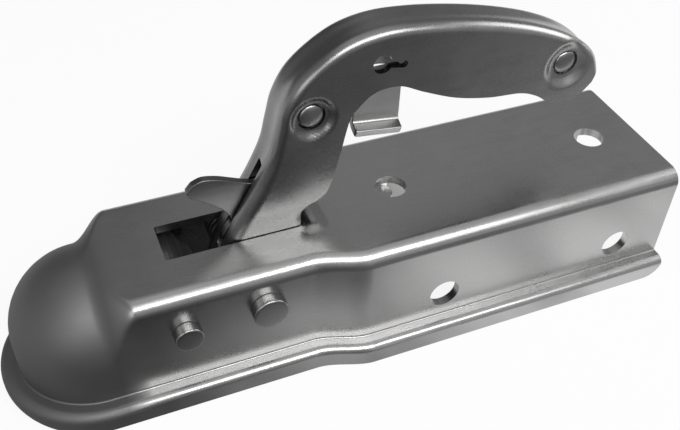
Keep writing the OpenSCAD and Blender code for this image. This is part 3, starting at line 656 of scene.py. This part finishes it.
# pin: turned profile from the closed far end to the head, which has a rounded rim and a nearly flat face
def makePin(name, node, place, p):
    x, z, r, head = place
    wall = p["wall"]
    top = wall + p["headHeight"]
    a = np.radians(np.linspace(0, 90, 9))
    rim = np.stack([head - 0.9 + 0.9*np.cos(a), top - 0.7 + 0.7*np.sin(a)], -1)
    crown = np.array([[head - 1.6, top + 0.03], [head*0.5, top + 0.05], [0, top + 0.06]])
    neck = [[r, wall], [head - 0.25, wall], [head, wall + 0.35], [head, top - 1.4]]
    near = np.concatenate([neck, rim, crown])
    far = wall + p["endHeight"]
    t = np.linspace(0, 1, 9)
    dome = np.stack([(head - 0.4)*np.sin(t*np.pi/2), far - p["endHeight"]*0.62*(1 - np.cos(t*np.pi/2))], -1)
    end = np.concatenate([dome, [[head - 0.4, wall + 0.2], [head - 0.6, wall], [r, wall]]])*[1, -1]
    profile = np.concatenate([end, near])*[1, -1]
    piece = turned(name, profile, x, z, 96)
    finishEdges(piece, 0, 0)
    piece.data.set_sharp_from_angle(angle=math.radians(50))
    attach(piece, "head", "pin_steel", pinSteel, node)


makePin("lever_pin_turned", "lever_pin", pinSize["lever"], pinSize)
makePin("jaw_pin_turned", "jaw_pin", pinSize["jaw"], pinSize)

rivetSize = dict(radius=5.1, near=6.2, far=7.6, rim=0.6, dome=0.9, nearRadius=4.5, nearDome=1.3, shank=5.4)


# rivet: both ends are low domes that lie at the bottom of the dishes
def makeRivet(name, node, x, z, r):
    t = np.linspace(0, 1, 14)
    far = np.stack([r["radius"]*np.sin(t*np.pi/2),
                    r["far"] + r["dome"]*np.cos(t*np.pi/2) - r["rim"]*t**4], -1)
    near = np.stack([r["nearRadius"]*np.sin(t*np.pi/2), -r["near"] - r["nearDome"]*np.cos(t*np.pi/2)], -1)
    neck = [[r["nearRadius"], -r["shank"]], [r["radius"] - 0.2, -r["shank"]], [r["radius"], 0.2 - r["shank"]]]
    profile = np.concatenate([far, neck[::-1], near[::-1]])
    piece = turned(name, profile, x, z, 72)
    finishEdges(piece, 0, 0)
    attach(piece, "lever_arm", "rivet_steel", rivetSteel, node)


makeRivet("catch_rivet_domed", "catch_rivet", *places["catchRivet"], rivetSize)
makeRivet("end_rivet_domed", "end_rivet", *places["endRivet"], rivetSize)

# rings on the pins: node, place, outer and inner radius, both ends along Y, body, slot, material
ringSize = [
    ("lever_bush_left", "leverPin", 7.0, 5.05, -25.15, -10.1, "head", "bush", bushBrass),
    ("lever_bush_right", "leverPin", 7.0, 5.05, 10.1, 25.15, "head", "bush", bushBrass),
    ("lever_washer_left", "leverPin", 8.5, 5.05, -10.1, -8.9, "head", "zinc_sheet", housingZinc),
    ("lever_washer_right", "leverPin", 8.5, 5.05, 8.9, 10.1, "head", "zinc_sheet", housingZinc),
    ("jaw_bush_left", "jawPin", 6.0, 4.05, -25.15, -18.1, "head", "bush", bushBrass),
    ("jaw_bush_right", "jawPin", 6.0, 4.05, 18.1, 25.15, "head", "bush", bushBrass),
    ("catch_spacer_left", "catchRivet", 6.25, 5.15, -4.2, -3.1, "lever_arm", "rivet_steel", rivetSteel),
    ("catch_spacer_right", "catchRivet", 6.25, 5.15, 0.1, 5.1, "lever_arm", "rivet_steel", rivetSteel),
    ("end_spacer", "endRivet", 6.25, 5.15, -4.2, 5.1, "lever_arm", "rivet_steel", rivetSteel),
    ("cam_sleeve", "cam", 6.0, 3.05, -6.2, 6.2, "lever_arm", "pin_steel", pinSteel)]
for node, at, outer, inner, low, high, body, slotName, material in ringSize:
    made = ring(node + "_ring", *places[at], outer, inner, low, high)
    finishEdges(made, 0, 0)
    attach(made, body, slotName, material, node)
camProfile = [[0, -9.4], [2.6, -9.4], [3.0, -9.0], [3.0, 9.0], [2.6, 9.4], [0, 9.4]]
camPin = turned("cam_pin_turned", camProfile, *places["cam"], 60)
finishEdges(camPin, 0, 0)
attach(camPin, "lever_arm", "pin_steel", pinSteel, "cam_pin")
print("pins, rivets and rings made")


# strap under the top plate, with a round end

strapSize = dict(front=81, rear=117.4, near=-2.5, far=6.7, middle=2.1, radius=4.6, low=22.25, high=25.25,
                 edge=0.3)


def makeStrap(b):
    outline = np.concatenate([[[b["front"], b["near"]], [b["rear"], b["near"]]],
                              arcPoints(b["rear"], b["middle"], b["radius"], -86, 86, 30),
                              [[b["rear"], b["far"]], [b["front"], b["far"]]]])
    strap = plate("stop_strap_sheet", outline, "z", b["low"], b["high"], b["edge"])
    finishEdges(strap, 0, 0)
    attach(strap, "head", "zinc_sheet", housingZinc, "stop_strap")


makeStrap(strapSize)


# springs: a coil round an axis along Y, with a straight leg at each end
def coilPath(x, z, radius, y0, y1, start, turns, legIn, legOut):
    a = np.radians(start + np.linspace(0, 360*turns, int(28*turns)))
    coil = np.stack([x + radius*np.cos(a), np.linspace(y0, y1, len(a)), z + radius*np.sin(a)], -1)
    path = np.concatenate([legIn, coil, legOut])
    # spaced evenly, so that the legs bend softly into the coil
    step = np.concatenate([[0], np.cumsum(np.linalg.norm(np.diff(path, axis=0), axis=1))])
    even = np.linspace(0, step[-1], int(step[-1]/1.1))
    return np.stack([np.interp(even, step, path[:, k]) for k in range(3)], -1)


springSize = dict(leverWire=1.1, leverCoil=8.5, leverTurns=4.5, leverY=(11.4, 23.55),
                  jawWire=0.8, jawCoil=7.2, jawTurns=2.5, jawY=(19.2, 24.05),
                  catchWire=0.6, catchCoil=7.05, catchTurns=3, catchY=(0.9, 4.3))


# the lever's spring on both sides, the jaw's on the near side and the catch's inside the lever
def makeSprings(k):
    y0, y1 = k["leverY"]
    for side, name in ((-1, "lever_spring_left"), (1, "lever_spring_right")):
        path = coilPath(*places["leverPin"], k["leverCoil"], y0, y1, 270, k["leverTurns"],
                        [[52, y0, 3.9], [56, y0, 4.3]], [[68.5, y1, 22.1], [78.7, y1, 24.05]])*[1, side, 1]
        attach(wire(name + "_wire", path, k["leverWire"]), "head", "spring_steel", springWire, name)
    y0, y1 = k["jawY"]
    path = coilPath(*places["jawPin"], k["jawCoil"], y0, y1, 0, k["jawTurns"],
                    [[36.2, y0, -4.3], [37.2, y0, 4.3]], [[23.3, y1, 18.7], [24.8, y1, 24.35]])*[1, -1, 1]
    attach(wire("jaw_spring_wire", path, k["jawWire"]), "head", "spring_steel", springWire, "jaw_spring")
    y0, y1 = k["catchY"]
    path = coilPath(*places["catchRivet"], k["catchCoil"], y0, y1, 270, k["catchTurns"],
                    [[77.4, y0, 61.4], [81.4, y0, 65.9]], [[92.4, y1, 69.9], [98.4, y1, 74.4]])
    made = wire("catch_spring_wire", path, k["catchWire"], 10)
    attach(made, "lever_arm", "spring_steel", springWire, "catch_spring")


makeSprings(springSize)
print("strap and springs made")

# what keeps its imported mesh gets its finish
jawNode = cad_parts["jaw"]
jawNode.data.materials.clear()
jawNode.data.materials.append(jawIron)


# floor, world, lamps and camera

# what metal sees of the floor, with places in metres; along runs from x = -0.1 to x = 0.3
floorSize = dict(low=-22.0*mm, half=4, tone=0.82, farLevel=0.20, behindLevel=0.85, behindFrom=0.05,
                 along=[(0.0, 0.60), (0.15, 0.30), (0.30, 0.13), (0.38, 0.36), (0.46, 0.52), (0.56, 0.66),
                        (0.65, 0.80), (1.0, 0.80)],
                 nearReach=0.060, rearExtra=0.028, rearFrom=0.09, blotchScale=30.0, blotch=1.6,
                 shadeFront=0.012, shadeRear=0.100, shadeHalf=0.030)


# a pale floor that takes shadows, with light of its own where the camera, metal or glass sees it
def makeFloor(f):
    mesh = bpy.data.meshes.new("floor")
    low, half = f["low"], f["half"]
    corners = [(-half, -half, low), (half, -half, low), (half, half, low), (-half, half, low)]
    mesh.from_pydata(corners, [], [(0, 1, 2, 3)])
    floor = bpy.data.objects.new("floor", mesh)
    scene.collection.objects.link(floor)
    material = bpy.data.materials.new("paleFloor")
    material.use_nodes = True
    s = Shade(material.node_tree)
    seen = s.node("ShaderNodeLightPath")
    rays = ("Is Camera Ray", "Is Glossy Ray", "Is Transmission Ray")
    inCamera, inMetal, inGlass = (Number(s, seen.outputs[k]) for k in rays)
    place = s.node("ShaderNodeTexCoord").outputs["Object"]
    apart = s.node("ShaderNodeSeparateXYZ", {}, {"Vector": place})
    x, y = Number(s, apart.outputs["X"]), Number(s, apart.outputs["Y"])
    # what metal sees of the floor: bright beside the rear end, dim beside the nose and further out
    alongLevel = s.number("ShaderNodeValToRGB", {"stops": f["along"]}, {"Fac": ((x + 0.1)*2.5).clamped()})
    reach = ((x - f["rearFrom"])*20).clamped()*f["rearExtra"] + f["nearReach"]
    near = ((y + reach + 0.010)*50).clamped()
    behind = ((y - f["behindFrom"])*8).clamped()
    # soft blotches in the floor's glow that metal reflects, as a real floor and what stands round it give
    blotch = 1 + (s.noise(place, f["blotchScale"], 2.0, 0.5, (1.0, 0.6, 1.0)) - 0.5)*f["blotch"]
    level = alongLevel*(near*(1 - f["farLevel"]) + f["farLevel"])*blotch
    level = level*(1 - behind) + behind*f["behindLevel"]
    level = level*inMetal + (1 - inMetal)
    # under the front half of the housing the floor stays in the shade
    under = ((f["shadeRear"] - x)*80).clamped()*((x + f["shadeFront"])*80).clamped()
    under = under*((f["shadeHalf"] - y.math("ABSOLUTE", y))*150).clamped()
    diffuse = s.node("ShaderNodeBsdfDiffuse", {}, {"Color": grey(f["tone"])})
    glowing = s.mixed(level.clamped(), grey(0.0), grey(1.0))
    glow = s.node("ShaderNodeEmission", {}, {"Color": glowing, "Strength": 1.0})
    shown = ((inCamera*0.9 + inMetal*0.95 + inGlass*0.9).clamped()*(1 - under)).clamped()
    both = s.node("ShaderNodeMixShader", {}, {0: shown, 1: diffuse.outputs[0], 2: glow.outputs[0]})
    s.node("ShaderNodeOutputMaterial", {}, {"Surface": both.outputs[0]})
    mesh.materials.append(material)


# levels run from the side of -X, at 0, to the side of +X, at 1
worldSize = dict(levels=[(0.0, 0.55), (0.22, 0.22), (0.35, 0.19), (0.5, 0.20), (0.62, 0.44), (0.68, 0.40),
                         (0.78, 0.26), (1.0, 0.36)], behindDim=0.25, overheadFrom=0.80, overhead=0.75)


# white to the camera, a soft studio to all else
def makeWorld(w):
    world = bpy.data.worlds.new("studio")
    scene.world = world
    world.use_nodes = True
    s = Shade(world.node_tree)
    seen = s.node("ShaderNodeLightPath")
    apart = s.node("ShaderNodeSeparateXYZ", {}, {"Vector": s.node("ShaderNodeTexCoord").outputs["Generated"]})
    dx, dy, dz = (Number(s, apart.outputs[k]) for k in "XYZ")
    # studio: the level changes from left to right, is higher in front than behind, and highest overhead
    across = s.number("ShaderNodeValToRGB", {"stops": w["levels"]}, {"Fac": (dx*0.5 + 0.5).clamped()})
    overhead = ((dz - w["overheadFrom"])*7).clamped()
    level = across*(1 - dy*w["behindDim"])*(1 - overhead) + overhead*w["overhead"]
    shade = s.node("ShaderNodeMix", {"data_type": "FLOAT"},
                   {0: Number(s, seen.outputs["Is Camera Ray"]), 2: level, 3: 1.0})
    back = s.node("ShaderNodeBackground", {}, {"Color": grey(1.0), "Strength": shade.outputs[0]})
    s.node("ShaderNodeOutputWorld", {}, {"Surface": back.outputs[0]})


# a rectangular soft lamp that looks at the point aim
def addLamp(name, at, aim, width, height, power):
    light = bpy.data.lights.new(name, "AREA")
    light.shape, light.size, light.size_y, light.energy = "RECTANGLE", width, height, power
    lamp = bpy.data.objects.new(name, light)
    lamp.location = at
    lamp.rotation_euler = (Vector(aim) - Vector(at)).to_track_quat("-Z", "Y").to_euler()
    scene.collection.objects.link(lamp)


# angles in degrees, place and lens in millimetres
cameraSize = dict(turn=-23.982, lift=42.145, roll=2.381, at=(-4.4, -233.3, 251.45), lens=46.85)


# turn goes round the upright axis, lift is the height above the horizon, and roll turns about the view
def makeCamera(c):
    data = bpy.data.cameras.new("camera")
    camera = bpy.data.objects.new("camera", data)
    scene.collection.objects.link(camera)
    az, el, roll = (math.radians(c[k]) for k in ("turn", "lift", "roll"))
    back = Vector((math.sin(az)*math.cos(el), -math.cos(az)*math.cos(el), math.sin(el)))
    right = Vector((math.cos(az), math.sin(az), 0))
    up = back.cross(right)
    x, y = math.cos(roll)*right + math.sin(roll)*up, -math.sin(roll)*right + math.cos(roll)*up
    place = Matrix((x, y, back)).transposed().to_4x4()
    place.translation = Vector(c["at"])*mm
    camera.matrix_world = place
    data.sensor_fit, data.sensor_width, data.lens = "HORIZONTAL", 36.0, c["lens"]
    data.clip_start, data.clip_end = 0.01, 50
    scene.camera = camera


makeFloor(floorSize)
makeWorld(worldSize)
# each lamp: its place, width and height in metres, its power in watts; all look at the middle of the part
lampSize = dict(keySoftbox=((0.18, -0.85, 1.0), 1.15, 0.45, 11.0),
                rearFill=((1.3, -0.1, 0.7), 0.7, 0.7, 4.0),
                frontFill=((-0.7, -0.9, 0.5), 0.6, 0.6, 2.0))
for name, (at, width, height, power) in lampSize.items():
    addLamp(name, at, (0.1, 0.0, 0.02), width, height, power)
makeCamera(cameraSize)
scene.view_settings.view_transform = "Standard"
print("floor, lamps and camera made")
